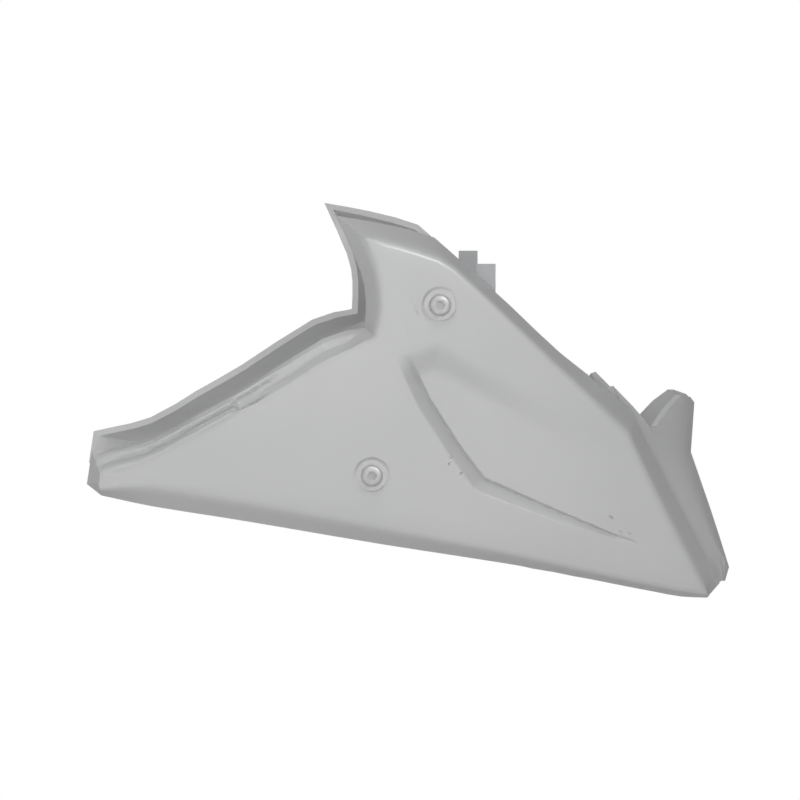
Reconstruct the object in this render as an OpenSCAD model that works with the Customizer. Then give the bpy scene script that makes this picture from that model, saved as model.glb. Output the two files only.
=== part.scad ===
// Motorcycle belly pan: two moulded side panels, a nose piece, four steel brackets and their fasteners
// X points forward, Y to the rider's left, Z up, and the origin is the middle of the upper engine bolt

/* [Reach from the upper engine bolt] */
// Back to the tail tip
tail_reach = 194; // [180:1:230]
// Forward to the front edge of a side panel
front_reach = 111; // [104:1:130]
// Up to the tip of the horn
horn_rise = 51.5; // [46:0.5:60]
// Down to the lowest edge
keel_drop = 134.4; // [128:0.2:150]

/* [Plan of the side panels] */
// From the middle plane to the outer face at its widest
half_width = 132; // [124:0.5:150]
// How far the face comes in at the front edge
front_taper = 44; // [30:1:50]
// How far the face comes in at the tail
tail_taper = 18; // [5:1:25]
// How far the face leans in at the bottom edge
lean_in = 24; // [12:1:28]

/* [Moulding] */
// Wall of the panels and the nose piece
wall = 3; // [2.4:0.1:3.2]
// Half-breadth of the rounding at the creases
crease_round = 2.4; // [1.5:0.1:2.6]
// Depth of the turned-in edge along the top
top_flange = 24; // [16:1:30]
// Depth of the turned-in edge round the notch
notch_flange = 17; // [12:1:22]
// Depth of the beaded edge along the rear arm
arm_flange = 15; // [11:1:18]
// Depth of the turned-in edge along the bottom
bottom_flange = 17; // [10:1:22]
// Depth of the turned-in edge that the nose piece seats behind
front_flange = 27; // [25:1:30]

/* [Recess] */
// Depth of the pressed recess where it is deepest
recess_depth = 7; // [2:0.5:9]
// Breadth of the slope along its lower edge
recess_low_slope = 7.5; // [4:0.5:10]
// Breadth of the slope along its upper edge
recess_high_slope = 13; // [8:0.5:16]

/* [Nose piece] */
// Gap between the nose piece and the flange that it seats behind
nose_gap = 0.25; // [0.2:0.05:0.5]
// How far the middle face stands proud of the strip beside it
nose_step = 2.5; // [1:0.1:4]

/* [Panel screws] */
// Shank diameter
bolt_d = 5.9; // [4.9:0.1:6]
// Clearance across a hole that the shank passes
bolt_clear = 0.7; // [0.3:0.1:1]
// Button head diameter
head_d = 10.5; // [9:0.5:12]
// Button head height
head_h = 3.3; // [2.5:0.1:4]
// Hexagon socket across flats
socket_af = 4; // [3:0.5:5]
// Washer diameter
washer_d = 15; // [13:0.5:18]
// Washer thickness
washer_t = 1.2; // [0.8:0.1:2]
// Flat seat round each hole, inside and out
seat_d = 17.5; // [17:0.5:20]
// Rubber washer thickness
rubber_t = 3; // [2:0.5:5]
// Rubber washer diameter
rubber_d = 16; // [14:0.5:17]
// Nut across flats
nut_af = 10; // [8:0.5:11]
// Nut flange diameter
nut_flange_d = 13.5; // [12:0.5:15]
// Nut height over its flange
nut_h = 6; // [5:0.5:8]
// Length of shank that shows past the nut
bolt_proud = 2; // [0.5:0.5:5]

/* [Nose screws] */
// Shank diameter
tapper_d = 4; // [3:0.1:4.2]
// Pan head diameter
tapper_head_d = 8; // [7:0.5:9]
// Pan head height
tapper_head_h = 2.6; // [2:0.1:3.2]
// Shank length under the washer
tapper_len = 5.6; // [4.5:0.1:5.8]
// Washer diameter
tapper_washer_d = 12; // [10:0.5:13]
// Washer thickness
tapper_washer_t = 1; // [0.6:0.1:1.5]
// Boss diameter on the back of the flange
boss_d = 8; // [7.5:0.5:9]
// Clearance across the hole that the boss passes
boss_clear = 0.8; // [0.4:0.1:1.2]

/* [Brackets] */
// Steel thickness
steel_t = 3; // [2:0.5:4]
// Diameter of the round ends
eye_d = 21; // [19:0.5:23]
// Engine bolt hole diameter
engine_hole_d = 8.4; // [6.4:0.1:10.5]
// From the middle plane to the inner face of the upper eyes
upper_eye_y = 96; // [88:1:97]
// From the middle plane to the inner face of the lower eyes
lower_eye_y = 84; // [76:1:88]
// Where the lower engine bolt lies, forward of the upper one
lower_bolt_x = -18; // [-20:1:-10]
// Where the lower engine bolt lies, up from the upper one
lower_bolt_z = -62; // [-70:1:-55]
// Width of the stop tab above the upper eye
tab_w = 9.4; // [6:0.2:14]
// Height of the stop tab over the upper bolt
tab_rise = 27.5; // [20:0.5:30]

/* [Hidden] */
plastic = "#b7b7b7";
steel = "#8e9092";
rubber = "#3a3a3a";
smooth_fn = 48;
cut = 0.5;
SIDES = [["right", -1], ["left", 1]];
LEVELS = ["upper", "lower"];

// Side view of a panel at its fifteen stations, in percent of its length and height from the tail and keel.
// A station is a slanted line from the bottom edge to the edge above it: 0 is the tail, 5 the notch corner,
// 8 the horn, 11 the bend in the top edge and 14 the front edge.
NOTCH = 5;
HORN = 8;
FRONT = 14;
low_crease = [[2.1, 28.7], [10.9, 29.0], [21.7, 26.3], [31, 23.7], [48.1, 18.4], [67.1, 12], [71.1, 10.5], [74.7, 9.2],
  [77.6, 8.1], [80.3, 7.1], [84.2, 5.8], [85.7, 5.2], [90.1, 3.7], [94, 2.5], [98.3, 1.3]];
high_crease = [[2.3, 32], [8.9, 34.6], [18, 42.8], [26.9, 51], [37.6, 62], [45.8, 68.6], [46.8, 76.1], [46, 86.3],
  [44.4, 94.1], [49.3, 92.5], [55.9, 89.1], [58.3, 86.7], [66.3, 74.3], [74.5, 61.3], [85.8, 43.8]];
low_rim = [[2.3, 26.6], [10.8, 23.8], [21.6, 21.1], [31, 18.6], [48.1, 13.8], [67.1, 8.8], [71.1, 7.5], [74.7, 6.5],
  [77.6, 5.5], [80.3, 4.7], [84.2, 3.4], [85.7, 2.9], [90.1, 1.5], [94, 0.3], [97.9, 0]];
high_rim = [[0.8, 38.1], [10.3, 41.7], [18, 48.7], [25.7, 55.7], [37.6, 68], [44.3, 70.9], [44.4, 78.5], [43.5, 85.9],
  [39.7, 100], [47.2, 97.8], [55.4, 94.1], [59.2, 88.6], [67.5, 76.2], [75.7, 63.4], [86.3, 49.6]];
front_foot = [100, 3.1];
tail_tip = [0, 29.6];
upper_screw_at = [56, 77.1];
lower_screw_at = [45.3, 32.8];
// Where the recess starts and ends across each station
recess_from = [0.3, 0.3, 0.3, 0.3, 0.28, 0.27, 0.24, 0.22, 0.2, 0.19, 0.18, 0.18, 0.175, 0.17, 0.17];
recess_to = [0.7, 0.7, 0.7, 0.75, 0.85, 0.9, 0.83, 0.74, 0.68, 0.68, 0.7, 0.7, 0.745, 0.82, 0.88];
// Stations of the mesh, close together on the slope at the rear of the recess
slope_end = 0.5;
mesh_at = concat([0, 0.3, 0.65, 1, 1.5, 2, 2.5, 3, 3.5, 4, 4.5, 4.8], [for (f = [0:4]) NOTCH + slope_end * f / 4],
  [6, 6.5, 7, 7.5, 8, 8.5, 9, 9.5, 10, 11, 11.5, 12, 12.5, 13, 13.5, 14]);
// Share of the recess's depth at each column of the mesh
depth_share = [0, 0, 0, 0.15, 0.5, 0.85, 1, 1, 1, 1, 0.74, 0.26, 0, 0, 0];
N = len(mesh_at) - 1;
M = len(depth_share) - 1;

function mix(a, b, t) = a + (b - a) * t;
function smooth(t) = let (c = min(1, max(0, t))) c * c * (3 - 2 * c);
function side_at(p) = [mix(-tail_reach, front_reach, p[0] / 100), mix(-keel_drop, horn_rise, p[1] / 100)];
function unit(v) = v / norm(v);
function along(list, s) = let (k = min(len(list) - 2, max(0, floor(s)))) mix(list[k], list[k + 1], s - k);

// A smooth line through the stations, which keeps its corners at the numbers in sharp
function curve(list, s, sharp) = let (k = min(len(list) - 2, max(0, floor(s))), t = s - k, a = list[k], b = list[k + 1],
  before = k == 0 || len(search(k, sharp)) > 0 ? a - (b - a) : list[k - 1],
  after = k == len(list) - 2 || len(search(k + 1, sharp)) > 0 ? b + (b - a) : list[k + 2],
  m0 = (b - before) / 2, m1 = (after - a) / 2)
  a * (2 * t * t * t - 3 * t * t + 1) + m0 * (t * t * t - 2 * t * t + t)
  + b * (3 * t * t - 2 * t * t * t) + m1 * (t * t * t - t * t);

// Offset of a closed side-view outline inwards by d, with mitred corners
function inset(pts, d) = let (n = len(pts)) [for (i = [0:n - 1])
  let (e0 = unit(pts[i] - pts[(i + n - 1) % n]), e1 = unit(pts[(i + 1) % n] - pts[i]),
    n0 = [-e0[1], e0[0]], n1 = [-e1[1], e1[0]])
  pts[i] + d * (n0 + n1) / max(0.5, 1 + n0 * n1)];

// Crease and rim outlines as closed rings of station points: along the bottom, then back along the top
function station_of(k, tail_from) = k < NOTCH ? mix(tail_from, NOTCH, k / NOTCH) : k;
function crease_ring(d, tail_from) = inset(concat(
  [for (k = [0:FRONT]) side_at(curve(low_crease, station_of(k, tail_from), []))],
  [for (k = [FRONT:-1:0]) side_at(curve(high_crease, station_of(k, tail_from), [NOTCH, HORN]))]), d);
function rim_ring(d) = inset(concat([for (p = low_rim) side_at(p)], [side_at(front_foot)],
  [for (k = [FRONT:-1:0]) side_at(high_rim[k])], [side_at(tail_tip)]), d);

// Half-width of the outer face at a side-view point
wide_x = 0.46 * (tail_reach + front_reach) - tail_reach;
function face_y(p) = let (ahead = max(0, (p[0] - wide_x) / (front_reach - wide_x)),
  behind = max(0, (wide_x - p[0]) / (wide_x + tail_reach)), down = (horn_rise - p[1]) / (horn_rise + keel_drop))
  half_width - front_taper * ahead * ahead - tail_taper * behind * behind - lean_in * pow(max(0, down), 1.7);

// Fractions of a station's line at which the mesh has its columns
function columns(s, span) = let (a = along(recess_from, s), b = along(recess_to, s),
  w = min(recess_low_slope / span, (b - a) / 3), v = min(recess_high_slope / span, (b - a) / 3))
  [0, a / 2, a, a + w / 4, a + w / 2, a + 3 * w / 4, a + w, mix(a + w, b - v, 1 / 3), mix(a + w, b - v, 2 / 3),
  b - v, b - 0.67 * v, b - 0.33 * v, b, (1 + b) / 2, 1];
function recess_fade(s) = smooth((s - NOTCH) / slope_end) * (1 - smooth((s - HORN) / (FRONT - HORN)));

// Face of one skin: the grid of points that its crease ring bounds, drop being how far in from the outer face
function face_grid(ring, drop) = let (n = len(ring),
  lows = [for (k = [0:FRONT]) ring[k]], highs = [for (k = [0:FRONT]) ring[n - 1 - k]])
  [for (s = mesh_at) let (a = curve(lows, s, []), b = curve(highs, s, [NOTCH, HORN]), c = columns(s, norm(b - a)))
    [for (j = [0:M]) let (p = mix(a, b, c[j]))
      [p[0], face_y(p) - drop - recess_depth * recess_fade(s) * depth_share[j], p[1]]]];

// Walk round the grid's edge: along the bottom, up the front, back along the top and down the tail
edge_walk = concat([for (i = [0:N - 1]) [i, 0]], [for (j = [0:M - 1]) [N, j]],
  [for (i = [N:-1:1]) [i, M]], [for (j = [M:-1:1]) [0, j]]);
P = len(edge_walk);

// A ring's point beside each step of the walk, in the side view
foot_share = 0.07;
tail_share = 0.4;
function ring_point(ring, rim, w) = let (i = w[0], j = w[1], s = mesh_at[i], n = len(ring), top = rim ? n - 2 : n - 1,
  lows = [for (k = [0:FRONT]) ring[k]], highs = [for (k = [0:FRONT]) ring[top - k]])
  j == 0 ? curve(lows, s, [])
  : j == M ? curve(highs, s, [NOTCH, HORN])
  : let (t = columns(s, norm(highs[i == 0 ? 0 : FRONT] - lows[i == 0 ? 0 : FRONT]))[j])
    i == N ? (rim ? (t < foot_share ? mix(lows[FRONT], ring[FRONT + 1], t / foot_share)
        : mix(ring[FRONT + 1], highs[FRONT], (t - foot_share) / (1 - foot_share)))
      : mix(lows[FRONT], highs[FRONT], t))
    : rim ? (t < tail_share ? mix(lows[0], ring[n - 1], t / tail_share)
        : mix(ring[n - 1], highs[0], (t - tail_share) / (1 - tail_share)))
      : mix(lows[0], highs[0], t);

// Depth of the turned-in edge beside each step of the walk
function edge_depth(w) = let (s = mesh_at[w[0]], j = w[1],
  low = mix(arm_flange, bottom_flange, smooth(s / 2)),
  high = s < 3 ? arm_flange : s < NOTCH ? mix(arm_flange, notch_flange, smooth((s - 3) / 2))
    : s < HORN - 1 ? notch_flange : s < HORN ? mix(notch_flange, 0.6 * top_flange, s - HORN + 1)
    : mix(0.6 * top_flange, top_flange, smooth((s - HORN) / 2)))
  j == 0 ? low : j == M ? high : w[0] == N ? front_flange : arm_flange;
function is_bead(w) = let (s = mesh_at[w[0]]) w[1] == M ? smooth(s / 0.5) * (1 - smooth((s - 3.1) / 0.6)) : 0;

// Share of the way out to the rim and in from the face, at each ring of a turned-in edge
plain_out = [0.1, 0.35, 0.55, 0.8, 1];
plain_in = [0.1, 0.35, 0.55, 0.8, 1];
bead_out = [0.1, 0.46, 0.5, 0.93, 1];
bead_in = [0.05, 0.12, 0.42, 0.52, 1];
RINGS = len(plain_out);

// Rings of one skin, from the one next to its face out to its rim
function skin_rings(grid, crease, rim, rim_y, drop, beads) = let (
  edges = [for (w = edge_walk) grid[w[0]][w[1]]],
  outer = [for (w = edge_walk) ring_point(crease, false, w)],
  ends = [for (w = edge_walk) ring_point(rim, true, w)])
  concat([[for (p = [0:P - 1]) let (e = edges[p], q = mix([e[0], e[2]], outer[p], 0.72))
      [q[0], face_y(q) - drop - 0.24 * crease_round, q[1]]]],
    [for (r = [0:RINGS - 1]) [for (p = [0:P - 1]) let (b = beads * is_bead(edge_walk[p]),
        out = mix(plain_out[r], bead_out[r], b), down = mix(plain_in[r], bead_in[r], b),
        q = mix(outer[p], ends[p], out))
      [q[0], mix(face_y(outer[p]) - drop, rim_y[p], down), q[1]]]]);

// Triangles of a grid of points numbered row by row, and of a band between two rings
function grid_faces(first, rows, cols) = [for (i = [0:rows - 1], j = [0:cols - 1])
  let (a = first + i * (cols + 1) + j, b = a + cols + 1) each [[a, b, b + 1], [a, b + 1, a + 1]]];
function band_faces(a, b) = [for (p = [0:len(a) - 1]) let (q = (p + 1) % len(a))
  each [[a[q], a[p], b[p]], [a[q], b[p], b[q]]]];
function flipped(faces) = [for (f = faces) [f[2], f[1], f[0]]];

// Closed moulded shell of the left-hand panel
module panel_shell() {
  crease = crease_ring(0, 0);
  rim = rim_ring(0);
  rim_y = [for (w = edge_walk) face_y(ring_point(crease, false, w)) - edge_depth(w)];
  outer_grid = face_grid(crease_ring(crease_round, 0.4), 0);
  inner_grid = face_grid(crease_ring(wall + 1.2, 1.4), wall);
  outer_rings = skin_rings(outer_grid, crease, rim, rim_y, 0, 1);
  inner_rings = skin_rings(inner_grid, crease_ring(wall, 1), rim_ring(wall), rim_y, wall, 0);
  face_count = (N + 1) * (M + 1);
  skin_count = face_count + (RINGS + 1) * P;
  function ring_ids(skin, r) = [for (p = [0:P - 1]) let (w = edge_walk[p])
    skin * skin_count + (r < 0 ? w[0] * (M + 1) + w[1] : face_count + r * P + p)];
  function skin_faces(skin) = concat(grid_faces(skin * skin_count, N, M),
    [for (r = [-1:RINGS - 1]) each band_faces(ring_ids(skin, r), ring_ids(skin, r + 1))]);
  polyhedron(
    points = concat([for (row = outer_grid) each row], [for (ring = outer_rings) each ring],
      [for (row = inner_grid) each row], [for (ring = inner_rings) each ring]),
    faces = concat(skin_faces(0), band_faces(ring_ids(0, RINGS), ring_ids(1, RINGS)), flipped(skin_faces(1))),
    convexity = 10);
}

// Panel fastening: where each screw sits and the planes of its stack, outside to inside
function screw_point(level) = side_at(level == "upper" ? upper_screw_at : lower_screw_at);
function seat_y(level) = face_y(screw_point(level)) - 0.6;
function pad_y(level) = seat_y(level) - wall - 1.4;
function plate_y(level) = pad_y(level) - rubber_t;
function nut_y(level) = plate_y(level) - steel_t;

// A cylinder along Y from y0 to y1 about a side-view point
module rod(p, y0, y1, d, fn = smooth_fn) {
  translate([p[0], y1, p[1]]) rotate([90, 0, 0]) cylinder(d = d, h = y1 - y0, $fn = fn);
}

// Front flange of a panel: crease and rim points at a share of its height, and its outward direction
function flange_crease(t) = let (q = mix(side_at(low_crease[FRONT]), side_at(high_crease[FRONT]), t))
  [q[0], face_y(q), q[1]];
function flange_rim(t) = let (c = flange_crease(t), q = mix(side_at(front_foot), side_at(high_rim[FRONT]), t))
  [q[0], c[1] - front_flange, q[1]];
function flange_point(t, u) = mix(flange_crease(t), flange_rim(t), u);
function flange_normal(t) = unit(cross(flange_point(t + 0.1, 0.5) - flange_point(t - 0.1, 0.5),
  flange_rim(t) - flange_crease(t)));
boss_across = 0.66;
function boss_share(level) = level == "upper" ? 0.7 : 0.32;
function boss_point(level) = flange_point(boss_share(level), boss_across);

// Turns a child built along +Z to stand on a flange point and point backwards, off the flange
module behind_flange(level, depth) {
  n = -flange_normal(boss_share(level));
  translate(boss_point(level) + n * depth)
    rotate([0, acos(n[2]), atan2(n[1], n[0])]) children();
}
nose_back = 2 * wall + nose_gap;
seat_back = nose_back - 0.3;
boss_back = seat_back - 0.2;

module side_panel() {
  difference() {
    union() {
      panel_shell();
      for (level = LEVELS) rod(screw_point(level), pad_y(level), seat_y(level) - 1, seat_d);
      for (level = LEVELS) behind_flange(level, wall / 2) cylinder(d = boss_d, h = boss_back - wall / 2, $fn = smooth_fn);
    }
    for (level = LEVELS) {
      rod(screw_point(level), seat_y(level), half_width + 5, seat_d);
      rod(screw_point(level), 0, half_width + 5, bolt_d + bolt_clear);
      behind_flange(level, wall / 2) cylinder(d = tapper_d + 0.1, h = boss_back, $fn = smooth_fn);
    }
  }
}
module right_panel() { color(plastic) mirror([0, 1, 0]) side_panel(); }
module left_panel() { color(plastic) side_panel(); }

// Nose piece in side view, in percent as above, from its bottom edge up: foot, knee, bend and top edge.
// Each line is for one share of the way from the middle plane out to the flange's rim.
nose_lines = [
  [0, [[101.5, 2.9], [102.2, 6.5], [96.3, 37.2], [96.8, 50.6]]],
  [0.2, [[101.4, 3], [102, 6.7], [95.8, 38], [95.9, 52.4]]],
  [0.38, [[101.1, 3.2], [101.5, 7.2], [94.8, 39.5], [94.3, 53.1]]],
  [0.54, [[101, 3.4], [101, 9], [93.3, 41], [92.2, 49.6]]],
  [0.68, [[100.6, 3.8], [99.8, 12], [91.6, 41.8], [90.4, 44.9]]]];
// Height share on the flange that each of the four comes to at the side, and the mesh rows between them
nose_reach = [0.03, 0.2, 0.82, 1.12];
nose_rows = [0, 0.4, 0.7, 1, 1.25, 1.5, 1.75, 2, 2.33, 2.67, 3];
// Height shares between which the hidden strip reaches out behind the flange, and how far out it starts
strip_between = [0.06, 0.9];
strip_hidden = 0.38;
strip_clear = 1.04;
strip_bend = 1.12;
function nose_line_point(line, v) = side_at(along(line[1], v));
function nose_share(v) = along(nose_reach, v);
function strip_point(v, u, depth) = let (t = nose_share(v)) flange_point(t, u) - flange_normal(t) * depth;
function nose_row(v) = let (front = wall + nose_gap, rim = strip_point(v, strip_bend, front), last = nose_lines[4],
  t = nose_share(v), start = t < strip_between[0] || t > strip_between[1] ? strip_clear : strip_hidden,
  q = nose_line_point(last, v), step = [q[0] - nose_step, q[1] - 0.3 * nose_step])
  concat([strip_point(v, start, front), strip_point(v, mix(start, strip_bend, 0.5), front), rim],
    [mix([step[0], 0.76 * rim[1], step[1]], rim, 0.5) + [0.6, 0, 0]],
    [[step[0], 0.76 * rim[1], step[1]]],
    [for (k = [4:-1:0]) let (q = nose_line_point(nose_lines[k], v)) [q[0], nose_lines[k][0] * rim[1], q[1]]]);
nose_half = [for (v = nose_rows) nose_row(v)];
function other_side(p) = [p[0], -p[1], p[2]];
nose_grid = [for (row = nose_half) concat(row, [for (k = [len(row) - 2:-1:0]) other_side(row[k])])];

// Direction off a grid's surface at one of its points, forwards on the nose piece
function grid_normal(g, i, j) = let (rows = len(g) - 1, cols = len(g[0]) - 1,
  up = g[min(rows, i + 1)][j] - g[max(0, i - 1)][j], side = g[i][max(0, j - 1)] - g[i][min(cols, j + 1)])
  unit(cross(side, up));
module nose_shell() {
  rows = len(nose_grid) - 1;
  cols = len(nose_grid[0]) - 1;
  back = [for (i = [0:rows]) [for (j = [0:cols]) nose_grid[i][j] - wall * grid_normal(nose_grid, i, j)]];
  count = (rows + 1) * (cols + 1);
  walk = concat([for (i = [0:rows - 1]) i * (cols + 1)], [for (j = [0:cols - 1]) rows * (cols + 1) + j],
    [for (i = [rows:-1:1]) i * (cols + 1) + cols], [for (j = [cols:-1:1]) j]);
  polyhedron(
    points = concat([for (row = nose_grid) each row], [for (row = back) each row]),
    faces = concat(grid_faces(0, rows, cols), band_faces(walk, [for (k = walk) k + count]),
      flipped(grid_faces(count, rows, cols))),
    convexity = 10);
}
module nose_panel() {
  color(plastic) difference() {
    nose_shell();
    for (side = SIDES, level = LEVELS) scale_side(side[1]) {
      behind_flange(level, wall) cylinder(d = boss_d + boss_clear, h = nose_back, $fn = smooth_fn);
      behind_flange(level, seat_back) cylinder(d = tapper_washer_d + 1, h = 6, $fn = smooth_fn);
    }
  }
}
module scale_side(way) { if (way < 0) mirror([0, 1, 0]) children(); else children(); }

// Bent steel strap from the panel screw to the engine bolt eye
module strap(level, eye, eye_y) {
  hole = screw_point(level);
  run = eye - hole;
  reach = norm(run);
  turn = atan2(run[1], run[0]);
  y1 = plate_y(level);
  bend0 = eye_d / 2 - 2;
  bend1 = reach - eye_d / 2 + 1;
  difference() {
    translate([hole[0], 0, hole[1]]) rotate([0, -turn, 0]) intersection() {
      translate([0, 0, -eye_d / 2]) linear_extrude(eye_d)
        polygon([[-eye_d, y1 - steel_t], [-eye_d, y1], [bend0, y1], [bend1 + steel_t, eye_y + steel_t],
          [reach + eye_d, eye_y + steel_t], [reach + eye_d, eye_y], [bend1, eye_y], [bend0 - steel_t, y1 - steel_t]]);
      union() {
        rod([0, 0], 0, half_width, eye_d);
        translate([0, 0, -eye_d / 2]) cube([reach, half_width, eye_d]);
        rod([reach, 0], 0, half_width, eye_d);
      }
    }
    rod(hole, 0, half_width, bolt_d + bolt_clear);
    rod(eye, 0, half_width, engine_hole_d);
  }
}
module upper_strap() {
  difference() {
    union() {
      strap("upper", [0, 0], upper_eye_y);
      translate([-tab_w / 2, upper_eye_y, 0]) cube([tab_w, steel_t, tab_rise]);
    }
    rod([0, 0], 0, half_width, engine_hole_d);
  }
}
module bracket(level) {
  color(steel) if (level == "upper") upper_strap();
    else strap("lower", [lower_bolt_x, lower_bolt_z], lower_eye_y);
}

module screw(level) {
  p = screw_point(level);
  top = seat_y(level) + washer_t;
  color(plastic) difference() {
    union() {
      rod(p, nut_y(level) - nut_h - bolt_proud, top + cut, bolt_d);
      translate([p[0], top, p[1]]) rotate([-90, 0, 0]) rotate_extrude($fn = smooth_fn)
        polygon(concat([[0, 0], [head_d / 2, 0]],
          [for (a = [0:15:60]) [head_d / 2 * (1 - 0.32 * (1 - cos(a * 1.5))), 0.5 + (head_h - 0.5) * sin(a * 1.5)]],
          [[0, head_h]]));
    }
    rod(p, top + head_h - 2, top + head_h + 1, socket_af / cos(30), 6);
  }
}
module washer(level) {
  p = screw_point(level);
  color(plastic) difference() {
    rod(p, seat_y(level), seat_y(level) + washer_t, washer_d);
    rod(p, seat_y(level) - 1, seat_y(level) + washer_t + 1, bolt_d + bolt_clear);
  }
}
module rubber_washer(level) {
  p = screw_point(level);
  color(rubber) difference() {
    rod(p, plate_y(level), pad_y(level), rubber_d);
    rod(p, plate_y(level) - 1, pad_y(level) + 1, bolt_d + bolt_clear);
  }
}
module nut(level) {
  p = screw_point(level);
  flange_h = 1.5;
  color(steel) difference() {
    union() {
      rod(p, nut_y(level) - flange_h, nut_y(level), nut_flange_d);
      rod(p, nut_y(level) - nut_h, nut_y(level) - flange_h / 2, nut_af / cos(30), 6);
    }
    rod(p, nut_y(level) - nut_h - 1, nut_y(level) + 1, bolt_d + 0.1);
  }
}
module nose_screw(level) {
  color(steel) behind_flange(level, seat_back + tapper_washer_t) difference() {
    union() {
      translate([0, 0, -tapper_len]) cylinder(d = tapper_d, h = tapper_len + cut, $fn = smooth_fn);
      rotate_extrude($fn = smooth_fn) polygon([[0, 0], [tapper_head_d / 2, 0], [tapper_head_d / 2, tapper_head_h * 0.5],
        [tapper_head_d * 0.44, tapper_head_h * 0.8], [tapper_head_d * 0.3, tapper_head_h], [0, tapper_head_h]]);
    }
    for (turn = [0, 90]) rotate([0, 0, turn]) translate([-tapper_head_d * 0.28, -0.5, tapper_head_h - 1.4])
      cube([tapper_head_d * 0.56, 1, 2]);
  }
}
module nose_washer(level) {
  color(steel) behind_flange(level, seat_back) difference() {
    cylinder(d = tapper_washer_d, h = tapper_washer_t, $fn = smooth_fn);
    translate([0, 0, -1]) cylinder(d = tapper_d + 0.4, h = tapper_washer_t + 2, $fn = smooth_fn);
  }
}

right_panel();
left_panel();
nose_panel();
for (side = SIDES, level = LEVELS) scale_side(side[1]) {
  name = str(side[0], "_", level);
  bracket(level);
  screw(level);
  washer(level);
  rubber_washer(level);
  nut(level);
  nose_screw(level);
  nose_washer(level);
}
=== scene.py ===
import math

import bmesh
import bpy
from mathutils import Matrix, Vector


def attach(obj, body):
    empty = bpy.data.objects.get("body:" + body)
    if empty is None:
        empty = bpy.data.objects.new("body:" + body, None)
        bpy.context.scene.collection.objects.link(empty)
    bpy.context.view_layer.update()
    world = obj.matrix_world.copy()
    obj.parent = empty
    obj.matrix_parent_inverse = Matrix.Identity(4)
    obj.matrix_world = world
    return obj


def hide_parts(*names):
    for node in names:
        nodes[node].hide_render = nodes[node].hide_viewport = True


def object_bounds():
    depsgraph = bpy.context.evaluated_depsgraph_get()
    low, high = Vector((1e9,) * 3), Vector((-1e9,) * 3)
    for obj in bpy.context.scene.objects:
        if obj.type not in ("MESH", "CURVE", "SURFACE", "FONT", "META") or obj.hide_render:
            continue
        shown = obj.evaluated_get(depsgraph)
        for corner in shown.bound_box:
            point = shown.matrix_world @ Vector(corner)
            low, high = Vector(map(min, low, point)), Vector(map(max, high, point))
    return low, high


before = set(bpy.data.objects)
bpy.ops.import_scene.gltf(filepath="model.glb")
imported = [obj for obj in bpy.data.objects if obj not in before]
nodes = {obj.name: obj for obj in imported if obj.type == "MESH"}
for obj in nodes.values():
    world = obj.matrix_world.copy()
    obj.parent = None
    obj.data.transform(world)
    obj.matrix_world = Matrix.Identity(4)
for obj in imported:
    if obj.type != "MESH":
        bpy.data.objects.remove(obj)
cad_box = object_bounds()

MM = 0.001
SIDES = ("right", "left")
LEVELS = ("upper", "lower")


# Colours and node helper
def linear(hex_colour):
    """An sRGB hex colour as the linear RGBA that a shader socket takes."""
    channels = [int(hex_colour[i:i + 2], 16) / 255 for i in (1, 3, 5)]
    return [c / 12.92 if c <= 0.04045 else ((c + 0.055) / 1.055) ** 2.4 for c in channels] + [1.0]


def add_node(tree, kind, settings=None, inputs=None, links=None):
    """Adds one node, with its settings, its input values and its links from other nodes' outputs."""
    node = tree.nodes.new(kind)
    for name, value in (settings or {}).items():
        setattr(node, name, value)
    for name, value in (inputs or {}).items():
        node.inputs[name].default_value = value
    for name, socket in (links or {}).items():
        tree.links.new(socket, node.inputs[name])
    return node


def new_material(name):
    """An empty node material with its output and its Principled shader."""
    material = bpy.data.materials.new(name)
    material.use_nodes = True
    tree = material.node_tree
    tree.nodes.clear()
    shader = add_node(tree, "ShaderNodeBsdfPrincipled")
    add_node(tree, "ShaderNodeOutputMaterial", links={"Surface": shader.outputs["BSDF"]})
    return material, tree, shader


def grain_scale(size_mm):
    """Noise scale whose cells are about size_mm across, on Object coordinates in metres."""
    return 1.0 / (size_mm * MM)


# Materials
def moulded_abs():
    """ABS, injection moulded against a spark-eroded steel tool: an even satin skin with a fine
    pebble grain, and a slightly drier look where the melt flowed out to the edges."""
    material, tree, shader = new_material("moulded_abs_fine_grain")
    place = add_node(tree, "ShaderNodeTexCoord").outputs["Object"]
    flow = add_node(tree, "ShaderNodeTexNoise", inputs={"Scale": grain_scale(85), "Detail": 2.0},
                    links={"Vector": place})
    tone = add_node(tree, "ShaderNodeMix", {"data_type": "RGBA"},
                    {"A": linear("#B1B2B2"), "B": linear("#B9B9B9")}, {"Factor": flow.outputs["Fac"]})
    # Real tool grain is about 0.15 mm, which is too fine to show: it is drawn at 0.9 mm
    pebble = add_node(tree, "ShaderNodeTexNoise",
                      inputs={"Scale": grain_scale(0.9), "Detail": 3.0, "Roughness": 0.6},
                      links={"Vector": place})
    haze = add_node(tree, "ShaderNodeMapRange",
                    inputs={"From Min": 0.3, "From Max": 0.7, "To Min": 0.34, "To Max": 0.42},
                    links={"Value": flow.outputs["Fac"]})
    bump = add_node(tree, "ShaderNodeBump", inputs={"Strength": 0.12, "Distance": 0.06 * MM},
                    links={"Height": pebble.outputs["Fac"]})
    shader.inputs["IOR"].default_value = 1.53
    tree.links.new(tone.outputs["Result"], shader.inputs["Base Color"])
    tree.links.new(haze.outputs["Result"], shader.inputs["Roughness"])
    tree.links.new(bump.outputs["Normal"], shader.inputs["Normal"])
    return material


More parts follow.
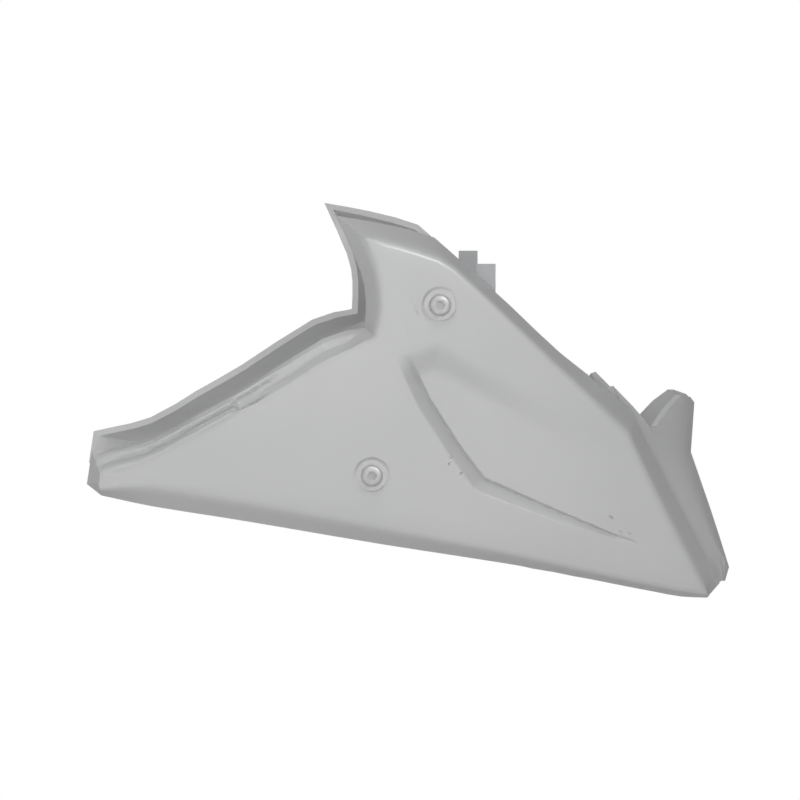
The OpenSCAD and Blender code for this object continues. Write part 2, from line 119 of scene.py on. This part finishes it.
def powder_coated_steel():
    """Laser-cut and folded mild steel, powder coated: a dielectric skin with a soft orange peel."""
    material, tree, shader = new_material("powder_coated_steel")
    place = add_node(tree, "ShaderNodeTexCoord").outputs["Object"]
    peel = add_node(tree, "ShaderNodeTexNoise", inputs={"Scale": grain_scale(1.6), "Detail": 2.0},
                    links={"Vector": place})
    tone = add_node(tree, "ShaderNodeMix", {"data_type": "RGBA"},
                    {"A": linear("#9FA1A2"), "B": linear("#A6A8A9")}, {"Factor": peel.outputs["Fac"]})
    bump = add_node(tree, "ShaderNodeBump", inputs={"Strength": 0.15, "Distance": 0.1 * MM},
                    links={"Height": peel.outputs["Fac"]})
    shader.inputs["Roughness"].default_value = 0.42
    tree.links.new(tone.outputs["Result"], shader.inputs["Base Color"])
    tree.links.new(bump.outputs["Normal"], shader.inputs["Normal"])
    return material


def black_oxide_steel(name, tint, sheen):
    """Steel screw or washer with a chemical oxide finish: dull metal with faint drawing marks."""
    material, tree, shader = new_material(name)
    place = add_node(tree, "ShaderNodeTexCoord").outputs["Object"]
    blotch = add_node(tree, "ShaderNodeTexNoise", inputs={"Scale": grain_scale(2.5), "Detail": 3.0},
                      links={"Vector": place})
    tone = add_node(tree, "ShaderNodeMix", {"data_type": "RGBA"},
                    {"A": linear(tint), "B": linear("#C6C6C6")}, {"Factor": blotch.outputs["Fac"]})
    rough = add_node(tree, "ShaderNodeMapRange", inputs={"To Min": sheen, "To Max": sheen + 0.12},
                     links={"Value": blotch.outputs["Fac"]})
    shader.inputs["Metallic"].default_value = 0.35
    tree.links.new(tone.outputs["Result"], shader.inputs["Base Color"])
    tree.links.new(rough.outputs["Result"], shader.inputs["Roughness"])
    return material


def zinc_plate():
    """Steel with bright zinc plate: metallic, with a cloudy bluish bloom."""
    material, tree, shader = new_material("zinc_plated_steel")
    place = add_node(tree, "ShaderNodeTexCoord").outputs["Object"]
    bloom = add_node(tree, "ShaderNodeTexNoise", inputs={"Scale": grain_scale(3), "Detail": 2.0},
                     links={"Vector": place})
    tone = add_node(tree, "ShaderNodeMix", {"data_type": "RGBA"},
                    {"A": linear("#B9BDC0"), "B": linear("#CCCDCB")}, {"Factor": bloom.outputs["Fac"]})
    rough = add_node(tree, "ShaderNodeMapRange", inputs={"To Min": 0.26, "To Max": 0.42},
                     links={"Value": bloom.outputs["Fac"]})
    shader.inputs["Metallic"].default_value = 1.0
    tree.links.new(tone.outputs["Result"], shader.inputs["Base Color"])
    tree.links.new(rough.outputs["Result"], shader.inputs["Roughness"])
    return material


def moulded_rubber():
    """EPDM rubber, compression moulded: matt, with a dusty bloom."""
    material, tree, shader = new_material("moulded_epdm_rubber")
    place = add_node(tree, "ShaderNodeTexCoord").outputs["Object"]
    bloom = add_node(tree, "ShaderNodeTexNoise", inputs={"Scale": grain_scale(2), "Detail": 4.0},
                     links={"Vector": place})
    tone = add_node(tree, "ShaderNodeMix", {"data_type": "RGBA"},
                    {"A": linear("#77787A"), "B": linear("#838485")}, {"Factor": bloom.outputs["Fac"]})
    shader.inputs["Roughness"].default_value = 0.8
    tree.links.new(tone.outputs["Result"], shader.inputs["Base Color"])
    return material


# Shaping: side-view points are (X, Z), and all sizes are in mm
# The plain outer face of the side panels' solids: widest at one X, tapering to both ends, leaning in below
FACE_HALF_WIDTH = 132
FACE_WIDEST_X = -53.7
FACE_AHEAD, FRONT_TAPER = 164.7, 44
FACE_BEHIND, TAIL_TAPER = 140.3, 18
FACE_TOP_Z, FACE_HEIGHT, LEAN_IN = 51.5, 185.9, 24
PANEL_WALL = 3.0
PANEL_DEPTH = 10.0
PANEL_SCREWS = ((-23.2, 8.9), (-55.8, -73.4))
FRONT_EDGE = ((72.6, -52), (105.7, -125))

# The recess: its rear and lower edge, its top edge, and the groove inside the first one
RECESS_EDGE = ((-45.5, -17), (-34.5, -40.5), (-19.5, -64), (-6.5, -81.5), (-3, -83.8), (12.5, -90), (36, -99),
               (59.5, -107), (81, -113))
RECESS_TOP = ((93, -75), (35, -42), (-23, -9), (-62, -20))
RECESS_DEPTH = 6.0
RECESS_BAND, LEAST_BAND = 9.0, 0.8
TIP_RUN = 75.0
FLOOR_RISE_X, FLOOR_RISE_RUN = -22.0, 90.0
GROOVE_DEPTH = 2.2
SLOPE_SHARE, LIP_SHARE = 0.74, 0.16
TOP_RAMP = 15.0
SEAT_REACH = 10.0
UNDER_SCREW_REACH, UNDER_SCREW_Z = 20.0, 5.0
FRONT_CLEAR = 4.5
REFINE_MARGIN, SETTLE_MARGIN = 4.0, 8.0
FINE_EDGE, COARSE_EDGE = 1.1, 3.0
BAND_MIDDLE, BAND_REACH = 4.5, 6.5

# The rear arm: the two lines that bound its turned-in edge, its ribs, and the hollow ahead of them
ARM_CREASE = ((-187, -76), (-167, -71), (-139, -55.5), (-112, -40), (-79, -19), (-54, -7))
ARM_RIM = ((-191.6, -64.5), (-162, -57.5), (-139, -44.5), (-115.5, -31.5), (-79, -8.5), (-58, -3))
ARM_FROM_X, ARM_TO_X = -190.0, -56.0
ARM_INNER_Y = 80.0
ARM_EDGE = 1.6
RIB_END_X, RIB_END_RUN = -121.0, 2.2
RIB_HEIGHT, RIB_MARGIN = 2.0, 0.04
RIB_TAIL_RUN = 14.0
HOLLOW_DEPTH = 2.4
HOLLOW_END_X, HOLLOW_END_RUN = -60.0, 12.0

# The front end is drawn forward and down, as the photograph shows it
DRAW_FROM_X, DRAW_RUN = -40.0, 150.0
DRAW_INNER_Y, DRAW_INNER_RUN = 88.0, 50.0
DRAW_TOP_Z, DRAW_HEIGHT = 40.0, 175.0
FORWARD, FORWARD_INWARD = 4.7, 4.6
DOWN, DOWN_AHEAD, DOWN_BEAK = 1.2, 4.3, 6.0


def clamped(t):
    return min(1.0, max(0.0, t))


def smooth_step(t):
    t = clamped(t)
    return t * t * (3 - 2 * t)


def rounded_ramp(t, round_share=0.22):
    """Rises from 0 to 1 with a rounding at its start and a straight slope after it."""
    t = clamped(t)
    scale = 1 - round_share / 2
    return t * t / (2 * round_share * scale) if t < round_share else (t - round_share / 2) / scale


def offset_from(line, x, z):
    """Distance of a side-view point from a polyline, positive on its left."""
    best = None
    for (ax, az), (bx, bz) in zip(line, line[1:]):
        dx, dz = bx - ax, bz - az
        t = clamped(((x - ax) * dx + (z - az) * dz) / (dx * dx + dz * dz))
        gap = math.hypot(x - ax - t * dx, z - az - t * dz)
        if best is None or gap < abs(best) - 1e-6:
            best = math.copysign(gap, dx * (z - az) - dz * (x - ax))
    return best


def face_at(x, z):
    """How far out the plain outer face of the side panels' solids lies."""
    ahead = max(0.0, (x - FACE_WIDEST_X) / FACE_AHEAD)
    behind = max(0.0, (FACE_WIDEST_X - x) / FACE_BEHIND)
    down = max(0.0, (FACE_TOP_Z - z) / FACE_HEIGHT)
    return FACE_HALF_WIDTH - FRONT_TAPER * ahead ** 2 - TAIL_TAPER * behind ** 2 - LEAN_IN * down ** 1.7


def recess_at(x, z):
    """Depth of the pressed recess, with the groove that runs round its rear and lower sides to a point."""
    inside, below = offset_from(RECESS_EDGE, x, z), offset_from(RECESS_TOP, x, z)
    if inside <= 0 or below <= 0:
        return 0.0
    tip = clamped((RECESS_EDGE[-1][0] - x) / TIP_RUN)
    floor = RECESS_DEPTH * (1 - smooth_step((x - FLOOR_RISE_X) / FLOOR_RISE_RUN))
    groove = GROOVE_DEPTH * smooth_step(3 * tip)
    t = inside / max(LEAST_BAND, RECESS_BAND * tip ** 0.6)
    if t < SLOPE_SHARE:
        depth = (floor + groove) * rounded_ramp(t / SLOPE_SHARE)
    else:
        depth = floor + groove * (1 - smooth_step((t - SLOPE_SHARE) / LIP_SHARE))
    return depth * smooth_step(below / TOP_RAMP)


def drawn(point):
    """Where a point of the solids, in metres, goes when the front end is drawn forward and down."""
    x, y, z = point.x / MM, abs(point.y) / MM, point.z / MM
    ahead = clamped((x - DRAW_FROM_X) / DRAW_RUN) ** 2
    inward = clamped((DRAW_INNER_Y - y) / DRAW_INNER_RUN)
    low = clamped((DRAW_TOP_Z - z) / DRAW_HEIGHT)
    beak = DOWN_BEAK * inward * ahead * (1 - low)
    return Vector(((x + ahead * (FORWARD + FORWARD_INWARD * inward)) * MM, point.y,
                   (z - low * (DOWN + DOWN_AHEAD * ahead) - beak) * MM))


def refined(bm, wanted, limit, rounds=7):
    """Splits the edges of the wanted faces until each is shorter than its limit, in the mesh's own order."""
    for _ in range(rounds):
        edges = dict.fromkeys(e for f in bm.faces if wanted(f) for e in f.edges
                              if e.calc_length() > limit((e.verts[0].co + e.verts[1].co) / 2))
        if not edges:
            return
        bmesh.ops.subdivide_edges(bm, edges=list(edges), cuts=1)
        bmesh.ops.triangulate(bm, faces=[f for f in bm.faces if len(f.verts) > 3])


def in_window(point, margin):
    """Whether a point of the face may be moved: at the recess or under the upper screw, off edges and seats."""
    x, z = point.x / MM, point.z / MM
    screws = [math.hypot(x - a, z - b) for a, b in PANEL_SCREWS]
    if abs(point.y) / MM < face_at(x, z) - PANEL_DEPTH or min(screws) < SEAT_REACH:
        return False
    q = drawn(point) / MM
    return (screws[0] < UNDER_SCREW_REACH and z < UNDER_SCREW_Z) or (
        min(offset_from(RECESS_EDGE, q.x, q.z), offset_from(RECESS_TOP, q.x, q.z)) > -margin
        and offset_from(FRONT_EDGE, q.x, q.z) < -FRONT_CLEAR)


def press_recess(bm, way):
    """Presses the recess into a side panel's face and the inner skin behind it; way is the panel's side."""
    def limit(point):
        q = drawn(point) / MM
        fine = abs(offset_from(RECESS_EDGE, q.x, q.z) - BAND_MIDDLE) < BAND_REACH
        return (FINE_EDGE if fine else COARSE_EDGE) * MM

    def wanted(face):
        return in_window(face.calc_center_median(), REFINE_MARGIN)

    def settle():
        for v in bm.verts:
            if in_window(v.co, SETTLE_MARGIN):
                q = drawn(v.co) / MM
                out = face_at(v.co.x / MM, v.co.z / MM) - recess_at(q.x, q.z)
                if v.normal.y * way < -0.3:
                    out = min(abs(v.co.y) / MM, out - PANEL_WALL)
                v.co.y = way * out * MM
        bm.normal_update()
    settle()
    refined(bm, wanted, limit)
    bm.normal_update()
    settle()


def raise_ribs(bm, way):
    """Raises the two ribs of the rear arm on its turned-in edge and hollows the edge ahead of them."""
    def across(point):
        x, z = point.x / MM, point.z / MM
        low, high = offset_from(ARM_CREASE, x, z), -offset_from(ARM_RIM, x, z)
        return low / (low + high) if low > 0 and high > 0 else None

    def on_edge(face):
        p = face.calc_center_median() / MM
        return (face.normal.z > 0.2 and face.normal.y * way > -0.2 and ARM_FROM_X < p.x < ARM_TO_X
                and p.y * way > ARM_INNER_Y and across(p * MM) is not None)

    def height(x, t):
        rib = 0.5 - 0.5 * math.cos(4 * math.pi * clamped((t - RIB_MARGIN) / (1 - 2 * RIB_MARGIN)))
        behind = smooth_step((RIB_END_X - x) / RIB_END_RUN)
        tail = smooth_step((x - ARM_FROM_X) / RIB_TAIL_RUN)
        hollow = smooth_step((t - 0.1) / 0.2) * smooth_step((0.9 - t) / 0.2)
        fade = smooth_step((HOLLOW_END_X - x) / HOLLOW_END_RUN)
        return RIB_HEIGHT * rib * behind * tail - HOLLOW_DEPTH * hollow * (1 - behind) * fade
    refined(bm, on_edge, lambda p: ARM_EDGE * MM, rounds=5)
    bm.normal_update()
    for v in dict.fromkeys(v for f in bm.faces if on_edge(f) for v in f.verts):
        t = across(v.co)
        if t is not None:
            v.co += v.normal * height(v.co.x / MM, t) * MM


# Pieces: a smooth copy of each solid, with its creases kept
MERGE_DISTANCE = 0.001 * MM
SLIVER = 0.03 * MM
SHARP_ANGLE = math.radians(38)
NOSE_SHARP_ANGLE = math.radians(18)


def skin(name, material, shape=None, sharp=SHARP_ANGLE):
    """A merged copy of a CAD solid, shaped, with smooth shading between its creases."""
    mesh = bpy.data.meshes.new(name + "_skin")
    bm = bmesh.new()
    bm.from_mesh(nodes[name].data)
    bmesh.ops.remove_doubles(bm, verts=bm.verts, dist=MERGE_DISTANCE)
    bmesh.ops.dissolve_degenerate(bm, edges=bm.edges, dist=SLIVER)
    bmesh.ops.triangulate(bm, faces=[f for f in bm.faces if len(f.verts) > 3])
    bm.normal_update()
    if shape:
        shape(bm)
    for v in bm.verts:
        v.co = drawn(v.co)
    for face in bm.faces:
        face.smooth = True
    bm.normal_update()
    for edge in bm.edges:
        if len(edge.link_faces) == 2:
            edge.smooth = edge.calc_face_angle() < sharp
    bm.to_mesh(mesh)
    bm.free()
    piece = bpy.data.objects.new(name + "_piece", mesh)
    bpy.context.scene.collection.objects.link(piece)
    mesh.materials.append(material)
    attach(piece, "root")
    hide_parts(name)
    return piece


def side_skin(name, way, material):
    def shape(bm):
        press_recess(bm, way)
        raise_ribs(bm, way)
    return skin(name, material, shape)


def dress(names, material):
    for name in names:
        skin(name, material)


def each(kind):
    return [f"{side}_{level}_{kind}" for side in SIDES for level in LEVELS]


# Studio, in metres
SHEET_HALF = 6.0
SHEET_BEND = 2.5
FLOOR_DROP = 0.12
WORLD_STRENGTH = 0.4
# name, place, size, watts, seen by diffuse rays, seen by glossy rays
LAMPS = (
    ("key_lamp", (-0.3, -2.3, 0.35), (0.9, 0.7), 27, True, False),
    ("crease_strip", (0.75, -1.6, 0.95), (0.9, 0.45), 26, False, True),
    ("top_strip", (-0.1, -1.1, 1.6), (1.3, 0.25), 6, True, True),
)


def white_paper():
    """Matt paper that shows as white to the camera and lights the part as plain pale paper."""
    material, tree, shader = new_material("matt_paper")
    shader.inputs["Base Color"].default_value = linear("#EDEDED")
    shader.inputs["Roughness"].default_value = 0.9
    seen = add_node(tree, "ShaderNodeLightPath").outputs["Is Camera Ray"]
    white = add_node(tree, "ShaderNodeEmission", inputs={"Color": linear("#FFFFFF")})
    mix = add_node(tree, "ShaderNodeMixShader", links={"Fac": seen})
    tree.links.new(shader.outputs["BSDF"], mix.inputs[1])
    tree.links.new(white.outputs["Emission"], mix.inputs[2])
    tree.links.new(mix.outputs["Shader"], tree.nodes["Material Output"].inputs["Surface"])
    return material


def backdrop():
    """Floor and backdrop in one sheet with a round bend between them."""
    floor_z = cad_box[0][2] - FLOOR_DROP
    far = 0.98 * SHEET_HALF
    bm = bmesh.new()
    bmesh.ops.create_grid(bm, x_segments=1, y_segments=1, size=SHEET_HALF)
    back = [e for e in bm.edges if all(v.co.y > far for v in e.verts)]
    bmesh.ops.extrude_edge_only(bm, edges=back)
    for v in list(bm.verts)[-2:]:
        v.co.z += SHEET_HALF
    bend = [e for e in bm.edges if all(v.co.y > far and v.co.z < 0.1 for v in e.verts)]
    bmesh.ops.bevel(bm, geom=bend, offset=SHEET_BEND, segments=16, affect="EDGES", profile=0.5, material=-1)
    for v in bm.verts:
        v.co.z += floor_z
    for f in bm.faces:
        f.smooth = True
    mesh = bpy.data.meshes.new("studio_sheet")
    bm.to_mesh(mesh)
    bm.free()
    sheet = bpy.data.objects.new("studio_sheet", mesh)
    bpy.context.scene.collection.objects.link(sheet)
    mesh.materials.append(white_paper())


def lamp(name, place, size, watts, diffuse, glossy):
    data = bpy.data.lights.new(name, "AREA")
    data.shape = "RECTANGLE"
    data.size, data.size_y = size
    data.energy = watts
    obj = bpy.data.objects.new(name, data)
    obj.location = place
    obj.rotation_euler = (centre - Vector(place)).to_track_quat("-Z", "Y").to_euler()
    obj.visible_diffuse = diffuse
    obj.visible_glossy = glossy
    bpy.context.scene.collection.objects.link(obj)


def studio():
    """Backdrop, soft lamps and an even world."""
    backdrop()
    for settings in LAMPS:
        lamp(*settings)
    world = bpy.data.worlds.new("studio_world")
    bpy.context.scene.world = world
    world.use_nodes = True
    background = world.node_tree.nodes["Background"]
    background.inputs["Color"].default_value = linear("#FFFFFF")
    background.inputs["Strength"].default_value = WORLD_STRENGTH


# Camera at the photograph's viewing angle
CAMERA_AZIMUTH = math.radians(-2)
CAMERA_ELEVATION = math.radians(3)
CAMERA_DISTANCE = 3.8
FRAMED_WIDTH = 0.40
AIM = (-0.038, 0.0, -0.044)
SENSOR_MM = 36.0

centre = Vector(AIM)


def camera():
    data = bpy.data.cameras.new("view_camera")
    data.sensor_width = SENSOR_MM
    data.lens = SENSOR_MM * CAMERA_DISTANCE / FRAMED_WIDTH
    data.clip_end = 100
    obj = bpy.data.objects.new("view_camera", data)
    level = math.cos(CAMERA_ELEVATION)
    obj.location = centre + CAMERA_DISTANCE * Vector((
        math.sin(CAMERA_AZIMUTH) * level, -math.cos(CAMERA_AZIMUTH) * level, math.sin(CAMERA_ELEVATION)))
    obj.rotation_euler = (centre - obj.location).to_track_quat("-Z", "Y").to_euler()
    bpy.context.scene.collection.objects.link(obj)
    bpy.context.scene.camera = obj


plastic = moulded_abs()
side_skin("right_panel", -1, plastic)
side_skin("left_panel", 1, plastic)
skin("nose_panel", plastic, sharp=NOSE_SHARP_ANGLE)
dress(each("bracket"), powder_coated_steel())
dress(each("screw"), black_oxide_steel("oxide_finish_screw", "#A9A9A9", 0.38))
dress(each("washer"), black_oxide_steel("oxide_finish_washer", "#B0B0B0", 0.42))
dress(each("rubber_washer"), moulded_rubber())
dress(each("nut") + each("nose_screw") + each("nose_washer"), zinc_plate())
studio()
camera()
bpy.context.scene.view_settings.view_transform = "Standard"
